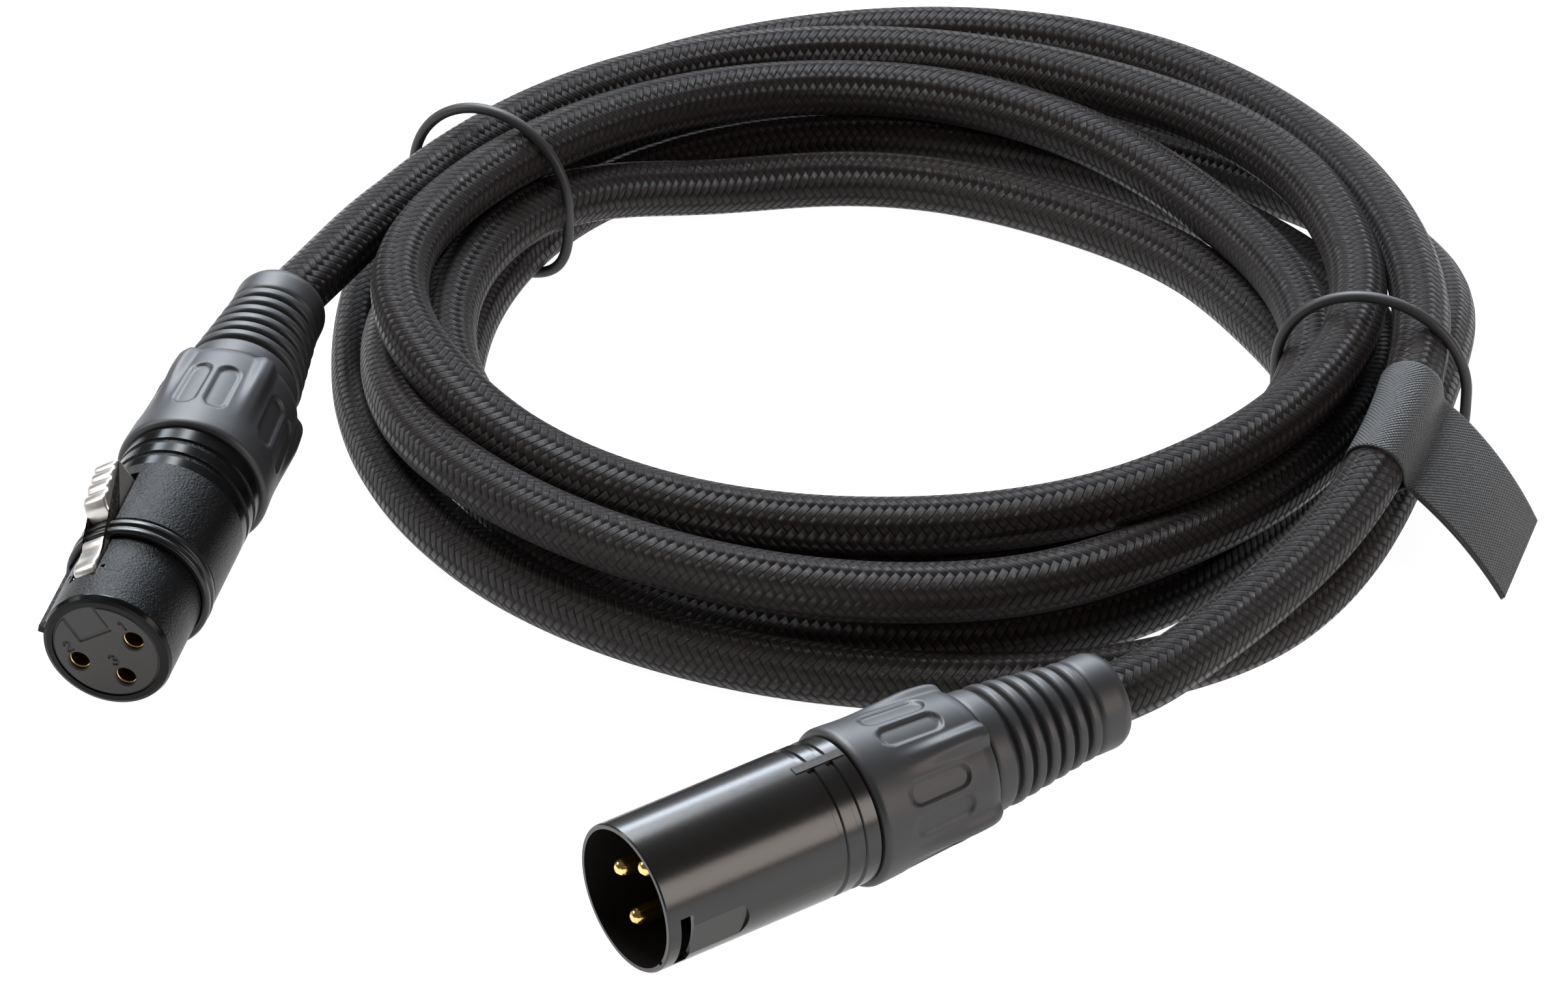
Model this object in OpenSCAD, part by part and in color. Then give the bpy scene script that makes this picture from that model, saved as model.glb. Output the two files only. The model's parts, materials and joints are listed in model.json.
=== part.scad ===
// XLR microphone cable, coiled and held by two rubber ties, about 2.5 m long.
// One braided cable with a 3-pole male and a 3-pole female connector, each built of its separate
// parts. Millimetres, +Z up, origin on the ground at the middle of everything's footprint.

/* [Build] */
// Node to build, or all of them

/* [Cable] */
// Diameter of the braided cable
cable_d = 7.8; // [6:0.1:10]

/* [Coil] */
// Radius of the coil at the middle of its turns
coil_mid_r = 65; // [50:1:90]
// Width of the bundle of turns, measured along a radius
coil_w = 30; // [20:1:45]
// Height of the bundle of turns
coil_h = 24; // [16:0.5:34]
// Place of the coil's centre, left to right
coil_x = 13.8; // [-60:0.1:60]
// Place of the coil's centre, front to back
coil_y = 31.4; // [-60:0.1:60]

/* [Ties] */
// Thickness of a tie's round rubber cord
tie_d = 1.5; // [1:0.1:3]
// Angle of the left tie around the coil
tie_left_angle = 152; // [120:1:180]
// Angle of the right tie around the coil
tie_right_angle = -18.5; // [-60:0.5:30]
// Width of a tie's loop, to the middle of its cord
tie_loop_w = 26; // [20:0.5:36]
// Height of a tie's loop, to the middle of its cord
tie_loop_h = 24.4; // [16:0.2:36]

/* [Connector shells] */
// Outer diameter of both barrels
barrel_d = 19; // [18:0.1:20]
// Largest diameter of a backshell
backshell_d = 20.6; // [20:0.1:23]
// Diameter of the female nose, which goes into a male shell
nose_d = 17.1; // [15:0.1:17.4]
// Wall of the male shell
male_wall = 0.65; // [0.5:0.05:1.2]
// Diameter of the collar that ends each boot
collar_d = 12.6; // [10:0.1:15]

/* [Contacts] */
// Diameter of a pin
pin_d = 2.4; // [2:0.1:3]
// Diameter of the circle that the contacts stand on
pin_circle_d = 8.8; // [8:0.1:10]
// How far the pin tips stay below the rim of the male shell
pin_recess = 2.8; // [1:0.1:5]

/* [Label] */
// Thickness of the doubled label fabric
label_t = 0.8; // [0.4:0.1:1.5]

/* [Connector places] */
// Centre of the male mouth from the coil's centre
male_at = [-35.1, -135.1, 9.6]; // [-200:0.1:200]
// Heading of the male connector, then how far its mouth points down
male_aim = [34.8, 1.25]; // [-180:0.05:180]
// Centre of the female face from the coil's centre
female_at = [-101.5, -80.05, 8.55]; // [-200:0.05:200]
// Heading of the female connector, then how far its face points down
female_aim = [75.65, 6.5]; // [-180:0.05:180]
// Turn of the male key about its axis, from straight down
male_roll = 75; // [0:1:359]
// Turn of the female latch about its axis, from straight down
female_roll = 211; // [0:1:359]
// Angle of the first ridge of the male backshell from its key
male_grip = 67.5; // [0:0.5:72]
// Angle of the first ridge of the female backshell from its latch
female_grip = 4.5; // [0:0.5:72]

/* [Hidden] */
$fn = 72;
cable_r = cable_d / 2;
barrel_r = barrel_d / 2;
back_r = backshell_d / 2;
nose_r = nose_d / 2;
collar_r = collar_d / 2;
pin_r = pin_d / 2;
pin_ring_r = pin_circle_d / 2;
tie_r = tie_d / 2;

// axial stations, measured back from the mouth or face
male_end = 71.7;          // rear of the boot
female_end = 74.8;
male_rim = 30.8;          // front rim of the backshell
female_rim = 34.4;
male_seam = 49.3;         // backshell meets boot
female_seam = 52.9;
ring_front = 12.5;        // the female gasket ring sits between these two
ring_back = 15.1;
neck_r = 8;               // threaded neck under each backshell
neck_len = 13;
chuck_r = 6.9;
cable_start = 35;         // the cut end of the cable inside each connector
cable_reach = 4.5;        // straight cable behind each boot, which the boot slides on

fit = 0.05;               // running fit
gap = 0.3;                // clearance round moving parts

charcoal = [0.16, 0.155, 0.15];
rubber = [0.17, 0.18, 0.2];
satin_black = [0.13, 0.125, 0.12];
grained_black = [0.09, 0.09, 0.095];
nickel = [0.78, 0.75, 0.7];
gold = [0.85, 0.65, 0.28];
dark_plastic = [0.18, 0.18, 0.18];
white_plastic = [0.8, 0.8, 0.78];
tie_gray = [0.23, 0.23, 0.24];
label_black = [0.17, 0.16, 0.16];

// ---------------------------------------------------------------- places

// Turns a connector's own frame, with +Z out of its mouth, into the whole cable's frame.
module placed(at, aim, roll) {
    translate([coil_x, coil_y, 0])
        translate(at)
            rotate([0, 90 + aim[1], 180 + aim[0]])
                rotate([0, 0, roll])
                    children();
}

module male_place() { placed(male_at, male_aim, male_roll) children(); }
module female_place() { placed(female_at, female_aim, female_roll) children(); }
module coil_place() { translate([coil_x, coil_y, 0]) children(); }

// Unit vector from a connector's mouth back along its axis.
function back_of(aim) = [
    cos(aim[0]) * cos(aim[1]),
    sin(aim[0]) * cos(aim[1]),
    sin(aim[1])
];

male_exit = male_at + (male_end + cable_reach) * back_of(male_aim);
female_exit = female_at + (female_end + cable_reach) * back_of(female_aim);

// Route of each lead from its connector onto the coil, from the coil's centre.
male_route = [
    male_exit,
    [32, -87.6, 11.5],
    [36.6, -82.6, 11.8],
    [41.6, -76.5, 12],
    [46.6, -70, 12.4],
    [51.4, -63.2, 13],
    [56, -55.8, 14],
    [60, -48, 15.4],
    [63.4, -39.8, 16.8],
    [66, -31.2, 17.8],
    [67.7, -22.4, 18.2],
    [68.6, -13.4, 18.2]
];
female_route = [
    female_exit,
    [-80.3, 0.3, 17.9],
    [-77.6, 4.4, 18.1],
    [-74.6, 8.8, 18.2],
    [-71.2, 13.6, 18.2],
    [-67.6, 19.2, 18.2],
    [-63.8, 25.6, 18]
];

// ---------------------------------------------------------------- sweeps

function unit(v) = v / norm(v);
// Direction of an open route at its point i.
function along(p, i) = unit(p[min(i + 1, len(p) - 1)] - p[max(i - 1, 0)]);
function ring_points(c, d, r, sides, up) = let (s = unit(cross(d, up)), u = cross(s, d)) [
    for (k = [0 : sides - 1]) c + r * (cos(360 * k / sides) * s + sin(360 * k / sides) * u)
];
function tube_faces(rings, sides) = concat(
    [[for (k = [sides - 1 : -1 : 0]) k]],
    [for (i = [0 : rings - 2], k = [0 : sides - 1])
        let (a = i * sides + k, b = i * sides + (k + 1) % sides)
        [a, b, b + sides, a + sides]],
    [[for (k = [0 : sides - 1]) (rings - 1) * sides + k]]
);

// A tube along an open route, which never runs in the direction up.
module tube(p, r, sides = 12, up = [0, 0, 1]) {
    points = [for (i = [0 : len(p) - 1]) each ring_points(p[i], along(p, i), r, sides, up)];
    polyhedron(points = points, faces = tube_faces(len(p), sides), convexity = 6);
}

// ---------------------------------------------------------------- connector parts

// Backshell outline from its front rim to its seam: [radius, station].
function backshell_outline(rim, seam) = [
    [back_r - 0.35, -rim - gap],
    [back_r - 0.05, -rim - 0.6],
    [back_r, -rim - 1.3],
    [back_r - 0.35, -rim - 6],
    [back_r - 0.8, -rim - 14],
    [back_r - 1.1, -rim - 17],
    [back_r - 1.35, -seam + 0.5],
    [back_r - 1.7, -seam]
];

grips = 5;                // ridges round a backshell
grip_step = 360 / grips;
pill_r = 1.6;
pill_front = 6.5;         // centres of a pill's round ends, behind the rim
pill_back = 12.5;
ridge_len = 11;

// Five raised ridges and, between them, pairs of pill-shaped recesses, all a third of a step apart.
module backshell(rim, seam, start) {
    difference() {
        union() {
            rotate_extrude()
                polygon(concat(
                    backshell_outline(rim, seam),
                    [
                        [6.75, -seam],
                        [6.75, -rim - neck_len - 1.5],
                        [neck_r + gap, -rim - neck_len - 0.7],
                        [neck_r + gap, -rim - gap]
                    ]
                ));
            for (i = [0 : grips - 1])
                rotate([0, 0, start + grip_step * i])
                    translate([back_r - 1.6, -0.9, -seam + 0.3])
                        cube([1.3, 1.8, ridge_len]);
        }
        for (i = [0 : grips - 1], third = [1, 2])
            rotate([0, 0, start + grip_step * (i + third / 3)]) {
                for (z = [-rim - pill_front, -rim - pill_back])
                    translate([back_r - 0.75, 0, z])
                        rotate([0, 90, 0])
                            cylinder(h = 3, r = pill_r, $fn = 32);
                translate([back_r - 0.75, -pill_r, -rim - pill_back])
                    cube([3, 2 * pill_r, pill_back - pill_front]);
            }
    }
}

// Ribbed boot: a plain band at the seam, six ribs and a rounded collar.
module boot(rim, seam, end) {
    band = 3;
    ribs = 6;
    collar = 5.2;
    first = seam + 0.3 + band;
    pitch = (end - collar - first) / ribs;
    band_r = 8;
    function rib_r(i) = band_r - (band_r - collar_r) * (i + 0.5) / ribs;
    outline = concat(
        [[6.65, -rim - neck_len - 2], [6.65, -seam - 0.3], [band_r - 0.3, -seam - 0.3]],
        [[band_r, -seam - 0.6], [band_r, -first]],
        [for (i = [0 : ribs - 1], k = [0 : 4])
            let (z = first + i * pitch + pitch * [0.12, 0.3, 0.5, 0.85, 1][k])
            [rib_r(i) - [0.95, 0.95, 0.12, 0, 0.2][k], -z]],
        [
            [collar_r, -end + collar - 0.2],
            [collar_r, -end + 1.4],
            [collar_r - 0.5, -end + 0.35],
            [collar_r - 1.4, -end],
            [cable_r + fit, -end],
            [cable_r + fit, -rim - neck_len - 2]
        ]
    );
    rotate_extrude()
        polygon(outline);
}

module chuck(rim) {
    difference() {
        translate([0, 0, -rim - neck_len - 0.2])
            cylinder(h = neck_len - 1.8, r = chuck_r);
        translate([0, 0, -rim - neck_len - 1])
            cylinder(h = neck_len + 2, r = cable_r + fit);
        for (a = [0 : 90 : 270])
            rotate([0, 0, a])
                translate([cable_r - 1, -0.5, -rim - neck_len - 1])
                    cube([6, 1, 8]);
    }
}

// A short insulated conductor from a solder cup to the cut end of the cable.
module wire(angle, from, to) {
    a = [pin_ring_r * cos(angle), pin_ring_r * sin(angle), -from];
    b = [1.9 * cos(angle), 1.9 * sin(angle), -to];
    up = [-sin(angle), cos(angle), 0];
    tube([a, a + [0, 0, -1], (a + b) / 2, b + [0, 0, 1], b], 0.65, 8, up);
}

module cable_end(end) {
    translate([0, 0, -end - cable_reach])
        cylinder(h = end + cable_reach - cable_start, r = cable_r);
}

// Contact angles from the key: 1 and 2 face each other, 3 stands opposite the key.
contact_angles = [90, 270, 180];

// ---------------------------------------------------------------- male connector

male_floor = 16.5;        // depth of the insert's face below the rim
male_shoulder = 26;
shank_r = pin_r + 0.25;   // corners of the six-sided shank that the insert holds

module male_shell_solid() {
    inner_r = barrel_r - male_wall;
    difference() {
        union() {
            rotate_extrude()
                polygon([
                    [inner_r, 0],
                    [barrel_r - 0.15, 0],
                    [barrel_r, -0.2],
                    [barrel_r, -25.1],
                    [barrel_r - 0.3, -25.3],
                    [barrel_r - 0.3, -26],
                    [barrel_r, -26.2],
                    [barrel_r, -27.8],
                    [barrel_r - 0.3, -28],
                    [barrel_r - 0.3, -28.7],
                    [barrel_r, -28.9],
                    [barrel_r, -male_rim],
                    [neck_r, -male_rim],
                    [neck_r, -male_rim - neck_len],
                    [chuck_r + 0.1, -male_rim - neck_len],
                    [chuck_r + 0.1, -male_shoulder],
                    [inner_r, -male_shoulder]
                ]);
            // raised strip that the grooves stop at
            rotate([0, 0, 97])
                translate([barrel_r - 0.5, -0.6, -male_rim + 0.1])
                    cube([0.62, 1.2, 7]);
        }
        // window that takes the mating latch
        translate([barrel_r - 1.5, -4, -3.5])
            cube([3, 8, 1.8]);
        // flat behind the window, with a round far end
        translate([barrel_r - 0.35, 0, -7.6])
            rotate([0, 90, 0])
                cylinder(h = 1, r = 4, $fn = 48);
        translate([barrel_r - 0.35, -4, -7.6])
            cube([1, 8, 4.1]);
        // key slot inside the rim
        rotate([0, 0, -20])
            translate([inner_r - 0.2, -0.45, -6])
                cube([0.5, 0.9, 7]);
    }
}

module male_insert_solid() {
    difference() {
        translate([0, 0, -male_shoulder])
            cylinder(h = male_shoulder - male_floor, r = barrel_r - male_wall - fit);
        for (a = contact_angles)
            rotate([0, 0, a])
                translate([pin_ring_r, 0, -male_shoulder - 1])
                    cylinder(h = male_shoulder, r = shank_r + fit, $fn = 6);
    }
}

module male_pin_solid(angle) {
    rotate([0, 0, angle])
        translate([pin_ring_r, 0, 0]) {
            translate([0, 0, -29])
                cylinder(h = 29 - male_floor, r = shank_r, $fn = 6);
            translate([0, 0, -male_floor])
                cylinder(h = male_floor - pin_recess - 1.1, r = pin_r);
            translate([0, 0, -pin_recess - 1.1])
                cylinder(h = 0.7, r1 = pin_r, r2 = pin_r - 0.35);
            translate([0, 0, -pin_recess - 0.4])
                cylinder(h = 0.4, r1 = pin_r - 0.35, r2 = 0.25);
        }
}

module male_shell() { color(satin_black) male_place() male_shell_solid(); }
module male_insert() { color(dark_plastic) male_place() male_insert_solid(); }
module male_pin_1() { color(gold) male_place() male_pin_solid(contact_angles[0]); }
module male_pin_2() { color(gold) male_place() male_pin_solid(contact_angles[1]); }
module male_pin_3() { color(gold) male_place() male_pin_solid(contact_angles[2]); }
module male_chuck() { color(white_plastic) male_place() chuck(male_rim); }
module male_backshell() { color(rubber) male_place() backshell(male_rim, male_seam, male_grip); }
module male_boot() { color(rubber) male_place() boot(male_rim, male_seam, male_end); }
module male_wire_1() { color("silver") male_place() wire(contact_angles[0], 29, cable_start); }
module male_wire_2() { color("red") male_place() wire(contact_angles[1], 29, cable_start); }
module male_wire_3() { color("white") male_place() wire(contact_angles[2], 29, cable_start); }

// ---------------------------------------------------------------- female connector

insert_r = 7.1;
insert_sunk = 0.3;        // the insert's face lies this far below the nose rim
insert_back = 27;
lever_w = 3.6;
pivot = [7.75, -6.7];     // latch pin: radius and station
latch_pin_r = 0.45;

module female_shell_solid() {
    difference() {
        union() {
            rotate_extrude()
                polygon([
                    [insert_r + fit, 0],
                    [nose_r - 0.7, 0],
                    [nose_r - 0.25, -0.2],
                    [nose_r, -0.8],
                    [nose_r, -ring_back],
                    [barrel_r - 0.25, -ring_back],
                    [barrel_r, -ring_back - 0.3],
                    [barrel_r, -28.5],
                    [barrel_r - 0.3, -28.7],
                    [barrel_r - 0.3, -29.4],
                    [barrel_r, -29.6],
                    [barrel_r, -31.2],
                    [barrel_r - 0.3, -31.4],
                    [barrel_r - 0.3, -32.1],
                    [barrel_r, -32.3],
                    [barrel_r, -female_rim],
                    [neck_r, -female_rim],
                    [neck_r, -female_rim - neck_len],
                    [insert_r + fit, -female_rim - neck_len]
                ]);
            // rib along the nose that guides it into a male shell
            rotate([0, 0, 46])
                translate([nose_r - 0.4, -0.5, -ring_front])
                    cube([0.95, 1, ring_front - 0.3]);
        }
        // slot for the latch lever, from the hook to the thumb tab
        translate([insert_r - 1, -lever_w / 2 - gap, -25])
            cube([5, lever_w + 2 * gap, 20]);
        // holes for the latch pin
        translate([pivot[0], -3, pivot[1]])
            rotate([-90, 0, 0])
                cylinder(h = 6, r = latch_pin_r + 0.02, $fn = 24);
    }
}

module female_gasket_ring_solid() {
    rotate_extrude()
        polygon([
            [nose_r + 0.02, -ring_front],
            [barrel_r - 0.25, -ring_front],
            [barrel_r + 0.1, -ring_front - 0.35],
            [barrel_r + 0.1, -ring_front - 0.9],
            [barrel_r - 0.2, -ring_front - 1.15],
            [barrel_r - 0.2, -ring_front - 1.5],
            [barrel_r + 0.15, -ring_front - 1.75],
            [barrel_r + 0.15, -ring_back + 0.3],
            [barrel_r - 0.1, -ring_back],
            [nose_r + 0.02, -ring_back]
        ]);
}

module female_insert_solid() {
    difference() {
        translate([0, 0, -insert_back])
            cylinder(h = insert_back - insert_sunk, r = insert_r);
        for (a = contact_angles)
            rotate([0, 0, a])
                translate([pin_ring_r, 0, 0]) {
                    translate([0, 0, -5])
                        cylinder(h = 6, r = pin_r + 0.15);
                    translate([0, 0, -insert_back - 1])
                        cylinder(h = insert_back - 0.3, r = 1.65);
                }
        // key slot in the face
        translate([4.6, -1.1, -1])
            cube([4, 2.2, 2]);
        // relief under the latch lever
        translate([5.85, -lever_w / 2 - gap, -26.4])
            cube([2, lever_w + 2 * gap, 21.8]);
    }
}

module female_contact_solid(angle) {
    rotate([0, 0, angle])
        translate([pin_ring_r, 0, 0])
            difference() {
                translate([0, 0, -29])
                    cylinder(h = 27.6, r = 1.6);
                translate([0, 0, -18])
                    cylinder(h = 18, r = pin_r + 0.02);
            }
}

// One pressed strip: a hook at the front, a flat neck under the gasket ring and a stepped thumb tab.
module female_latch_lever_solid() {
    step = 1.65;
    tab = [for (i = [0 : 3], k = [0 : 1])
        [11.7 + 0.4 * i + 0.1 * k, -16.4 - step * (i + k) + 0.25 * k]];
    difference() {
        translate([0, lever_w / 2, 0])
            rotate([90, 0, 0])
                linear_extrude(height = lever_w)
                    polygon(concat(
                        [
                            [6.9, -5.6],
                            [8.2, -5.5],
                            [8.7, -6.2],
                            [8.7, -6.9],
                            [9.05, -7.2],
                            [9.05, -7.8],
                            [9.35, -8.1],
                            [9.35, -10.9],
                            [8.05, -12.1],
                            [8.05, -15.5],
                            [11, -15.7]
                        ],
                        tab,
                        [
                            [12.5, -23.9],
                            [7.6, -24.2],
                            [7.6, -16.1],
                            [7.1, -15.5],
                            [7.1, -7.6],
                            [6.9, -7]
                        ]
                    ));
        translate([pivot[0], -4, pivot[1]])
            rotate([-90, 0, 0])
                cylinder(h = 8, r = latch_pin_r + fit, $fn = 24);
    }
}

module female_latch_pin_solid() {
    translate([pivot[0], -2.95, pivot[1]])
        rotate([-90, 0, 0])
            cylinder(h = 5.9, r = latch_pin_r, $fn = 24);
}

// Leaf spring that lies on the insert's relief, under the lever.
module female_latch_spring_solid() {
    translate([0, 1.2, 0])
        rotate([90, 0, 0])
            linear_extrude(height = 2.4)
                polygon([[5.87, -24], [6.05, -24], [6.05, -10], [5.87, -10]]);
}

module female_shell() { color(grained_black) female_place() female_shell_solid(); }
module female_gasket_ring() { color(rubber) female_place() female_gasket_ring_solid(); }
module female_insert() { color(dark_plastic) female_place() female_insert_solid(); }
module female_contact_1() { color(gold) female_place() female_contact_solid(contact_angles[1]); }
module female_contact_2() { color(gold) female_place() female_contact_solid(contact_angles[0]); }
module female_contact_3() { color(gold) female_place() female_contact_solid(contact_angles[2]); }
module female_latch_lever() { color(nickel) female_place() female_latch_lever_solid(); }
module female_latch_pin() { color(nickel) female_place() female_latch_pin_solid(); }
module female_latch_spring() { color(nickel) female_place() female_latch_spring_solid(); }
module female_chuck() { color(white_plastic) female_place() chuck(female_rim); }
module female_backshell() { color(rubber) female_place() backshell(female_rim, female_seam, female_grip); }
module female_boot() { color(rubber) female_place() boot(female_rim, female_seam, female_end); }
module female_wire_1() { color("silver") female_place() wire(contact_angles[1], 29, cable_start); }
module female_wire_2() { color("red") female_place() wire(contact_angles[0], 29, cable_start); }
module female_wire_3() { color("white") female_place() wire(contact_angles[2], 29, cable_start); }

// ---------------------------------------------------------------- cable, ties and label

row_rise = (coil_h - cable_d) / 2;
row_w = [coil_w, coil_w - 10, coil_w - 14];

// Section of the bundle of turns: three rows of cable, each narrower than the one below.
module bundle_section() {
    translate([coil_mid_r, 0])
        for (row = [0 : 2])
            hull()
                for (side = [-1, 1])
                    translate([side * (row_w[row] / 2 - cable_r), cable_r + row * row_rise])
                        circle(r = cable_r, $fn = 32);
    translate([coil_mid_r - row_w[2] / 2, cable_r])
        square([row_w[2], coil_h - cable_d]);
}

// What a tie pinches away from the bundle: a slice round the tie's loop.
module tie_groove(angle) {
    rotate([0, 0, angle])
        translate([0, tie_d, 0])
            rotate([90, 0, 0])
                linear_extrude(height = 2 * tie_d)
                    difference() {
                        translate([coil_mid_r - coil_w, -1])
                            square([2 * coil_w, coil_h + 4]);
                        polygon([for (i = [0 : tie_steps - 1]) tie_point(i, -tie_r - 0.1)]);
                    }
}

module cable_coil() {
    color(charcoal) coil_place()
        difference() {
            rotate_extrude($fn = 96)
                bundle_section();
            tie_groove(tie_left_angle);
            tie_groove(tie_right_angle);
        }
}

module cable_lead_male() { color(charcoal) coil_place() tube(male_route, cable_r); }
module cable_lead_female() { color(charcoal) coil_place() tube(female_route, cable_r); }
module cable_end_male() { color(charcoal) male_place() cable_end(male_end); }
module cable_end_female() { color(charcoal) female_place() cable_end(female_end); }

// Middle line of a tie's loop, or that line grown by grow: [radius, height].
// The loop is round above and squarer below, where it runs under the turns.
tie_steps = 40;
function power(v, e) = sign(v) * pow(abs(v), e);
function tie_point(i, grow = 0) =
    let (t = 360 * i / tie_steps, e = sin(t) < 0 ? 0.57 : 1) [
        coil_mid_r + (tie_loop_w / 2 + grow) * power(cos(t), e),
        tie_r + tie_loop_h / 2 + (tie_loop_h / 2 + grow) * power(sin(t), e)
    ];

// A closed loop of round rubber cord around the bundle, standing on the ground.
module tie(angle) {
    sides = 8;
    loop = [for (i = [0 : tie_steps - 1]) let (p = tie_point(i)) [p[0], 0, p[1]]];
    points = [for (i = [0 : tie_steps - 1])
        let (
            d = unit(loop[(i + 1) % tie_steps] - loop[(i + tie_steps - 1) % tie_steps]),
            n = cross(d, [0, 1, 0])
        )
        each [for (k = [0 : sides - 1])
            loop[i] + tie_r * (cos(360 * k / sides) * n + sin(360 * k / sides) * [0, 1, 0])]];
    faces = [for (i = [0 : tie_steps - 1], k = [0 : sides - 1])
        let (j = (i + 1) % tie_steps, m = (k + 1) % sides)
        [i * sides + k, i * sides + m, j * sides + m, j * sides + k]];
    rotate([0, 0, angle])
        polyhedron(points = points, faces = faces, convexity = 4);
}
module tie_left() { color(tie_gray) coil_place() tie(tie_left_angle); }
module tie_right() { color(tie_gray) coil_place() tie(tie_right_angle); }

// The label is folded round the male lead and its two ends are sewn together as a flag.
wrap_route = [for (i = [7 : 9]) male_route[i]];
module label_wrap() {
    color(label_black) coil_place()
        difference() {
            tube(wrap_route, cable_r + label_t, 16);
            tube(concat(
                [wrap_route[0] - 2 * along(wrap_route, 0)],
                wrap_route,
                [wrap_route[2] + 2 * along(wrap_route, 2)]
            ), cable_r + 0.1, 16);
        }
}
// Corners of the flag's upper face: two at the wrap, then two at its free edge.
flag_corners = [
    [64.3, -45, 10.8],
    [70.6, -29.2, 12],
    [82.2, -39.3, 2.4],
    [76.5, -56.2, 1.3]
];
module label_flag() {
    color(label_black) coil_place()
        hull()
            for (p = flag_corners)
                translate([p[0], p[1], p[2] - label_t])
                    cylinder(h = label_t, r = 0.3, $fn = 8);
}

// ---------------------------------------------------------------- assembly

male_shell();
male_insert();
male_pin_1();
male_pin_2();
male_pin_3();
male_chuck();
male_backshell();
male_boot();
male_wire_1();
male_wire_2();
male_wire_3();
female_shell();
female_gasket_ring();
female_insert();
female_contact_1();
female_contact_2();
female_contact_3();
female_latch_lever();
female_latch_pin();
female_latch_spring();
female_chuck();
female_backshell();
female_boot();
female_wire_1();
female_wire_2();
female_wire_3();
cable_end_male();
cable_end_female();
cable_lead_male();
cable_lead_female();
cable_coil();
tie_left();
tie_right();
label_wrap();
label_flag();
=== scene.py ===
"""A coiled XLR microphone cable.

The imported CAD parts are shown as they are, apart from those that the pieces made here replace: the
braided cable, the ties, the label, and the soft or turned details of the connectors.
"""

import json
import math

import bpy
import numpy as np
from mathutils import Matrix, Vector


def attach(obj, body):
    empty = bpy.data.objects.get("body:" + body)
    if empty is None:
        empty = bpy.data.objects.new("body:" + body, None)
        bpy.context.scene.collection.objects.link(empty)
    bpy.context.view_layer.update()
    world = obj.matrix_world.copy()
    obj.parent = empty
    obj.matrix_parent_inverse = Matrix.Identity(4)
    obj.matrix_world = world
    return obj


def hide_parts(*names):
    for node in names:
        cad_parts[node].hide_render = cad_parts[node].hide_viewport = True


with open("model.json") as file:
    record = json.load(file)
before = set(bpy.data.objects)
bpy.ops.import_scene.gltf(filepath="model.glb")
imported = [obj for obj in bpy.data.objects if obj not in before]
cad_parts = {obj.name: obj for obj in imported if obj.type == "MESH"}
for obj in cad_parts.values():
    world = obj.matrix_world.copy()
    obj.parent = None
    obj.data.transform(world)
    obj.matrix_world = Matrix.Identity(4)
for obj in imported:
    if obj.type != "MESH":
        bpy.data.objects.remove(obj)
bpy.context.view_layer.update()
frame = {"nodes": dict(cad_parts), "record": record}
NODES = frame["nodes"]

# ---------------------------------------------------------------- driving sizes, in millimetres

MM = 0.001
CABLE_R = 3.9
COIL = np.array([13.8, 31.4, 0.0])      # the coil's centre on the ground
TIE_R = 0.75
TIE_LOOP_H = 24.4
# Each tie's angle about the coil's centre, middle radius and width.
TIES = {"tie_left": (152.0, 64.3, 24.6), "tie_right": (-18.5, 65.0, 26.0)}

# Each connector's mouth from the coil's centre, and its turns. Along it, measured back from the mouth:
# the backshell's rim, the seam between backshell and boot, and the boot's end. Grip is the angle of the
# backshell's first ridge.
MALE = {
    "at": np.array([-35.1, -135.1, 9.6]), "heading": 34.8, "dip": 1.25, "roll": 75.0,
    "rim": 30.8, "seam": 49.3, "end": 71.7, "grip": 67.5,
}
FEMALE = {
    "at": np.array([-101.5, -80.05, 8.55]), "heading": 75.65, "dip": 6.5, "roll": 211.0,
    "rim": 34.4, "seam": 52.9, "end": 74.8, "grip": 4.5,
}
CABLE_REACH = 4.5   # how far behind the male boot the cable runs straight

BARREL_R = 9.5
NOSE_R = 8.55
BACK_R = 10.3
COLLAR_R = 6.3
PIN_RING_R = 4.4    # radius of the circle that the three contacts stand on
PIN_R = 1.2
PIN_TIP = 1.5       # how far the male pins' tips lie behind the rim
PIN_FOOT = 16.6     # how far their feet lie behind it, just inside the insert
RING_FRONT = 12.5
RING_BACK = 15.1
PIVOT = (7.55, 6.7)     # the visible latch pin's radius and station
PIVOT_R = 0.3
PIVOT_HALF = 2.9

STITCH = 1.34       # length of one stitch of the braid along the cable
COLUMNS = 14        # columns of stitches round the cable
THREAD = 0.28       # spacing of the label's threads

# ---------------------------------------------------------------- camera

CAMERA_AT = (-2.36, -796.1, 500.94)
CAMERA_DIP = 32.1
LENS = 163.3
SENSOR = 36
FAR_CLIP = 10

camera = bpy.data.objects.new("camera", bpy.data.cameras.new("camera"))
camera.data.lens = LENS
camera.data.sensor_width = SENSOR
camera.data.clip_end = FAR_CLIP
camera.location = Vector(CAMERA_AT) * MM
camera.rotation_euler = (math.radians(90 - CAMERA_DIP), 0, 0)
bpy.context.scene.collection.objects.link(camera)
bpy.context.scene.camera = camera


# ---------------------------------------------------------------- places and meshes

def turn(axis, degrees):
    return Matrix.Rotation(math.radians(degrees), 4, axis)


def place_of(c):
    """The matrix that takes a connector's own frame, +Z out of its mouth, into the row frame, in mm."""
    there = Matrix.Translation(Vector(c["at"] + COIL))
    aimed = turn("Z", 180 + c["heading"]) @ turn("Y", 90 + c["dip"])
    return np.array(there @ aimed @ turn("Z", c["roll"]))


for connector in (MALE, FEMALE):
    connector["place"] = place_of(connector)
    connector["back"] = -connector["place"][:3, 2]
COIL_PLACE = np.eye(4)
COIL_PLACE[:3, 3] = COIL


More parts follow.
